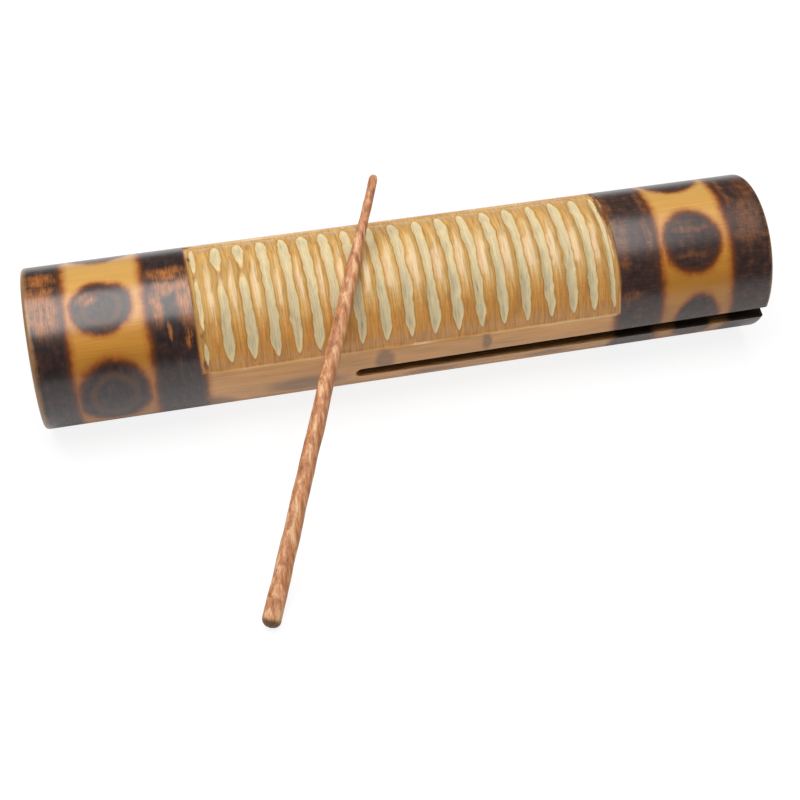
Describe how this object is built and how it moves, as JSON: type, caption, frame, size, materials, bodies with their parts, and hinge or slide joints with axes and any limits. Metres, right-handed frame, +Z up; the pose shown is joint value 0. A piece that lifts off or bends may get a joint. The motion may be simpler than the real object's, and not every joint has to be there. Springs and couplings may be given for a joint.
{
  "type": "bamboo guiro",
  "caption": "Bamboo guiro: hollow culm open at both ends, with a notched panel, a sound slot and a loose tapered scraper that strokes along the notches.",
  "frame": {"origin": "on the ground, under the middle of the whole object's box, with the scraper leaning as at rest", "axes": "+X along the culm towards the end where the sound slot is open, +Z up, the notches and the scraper towards -Y"},
  "size_m": [0.35, 0.1896, 0.0974],
  "materials": {
    "bamboo": "satin bamboo skin with burnt bands and spots, raw in the notches",
    "scraper_wood": "whittled reddish wood, lightly sealed"
  },
  "bodies": {
    "guiro": {"bamboo_culm": "bamboo"},
    "scraper": {"scraper": "scraper_wood"}
  },
  "joints": [
    {"name": "scraping_stroke", "type": "slide", "parent": "guiro", "child": "scraper", "axis": [1, 0, 0], "range_m": [-0.059, 0.114]}
  ]
}
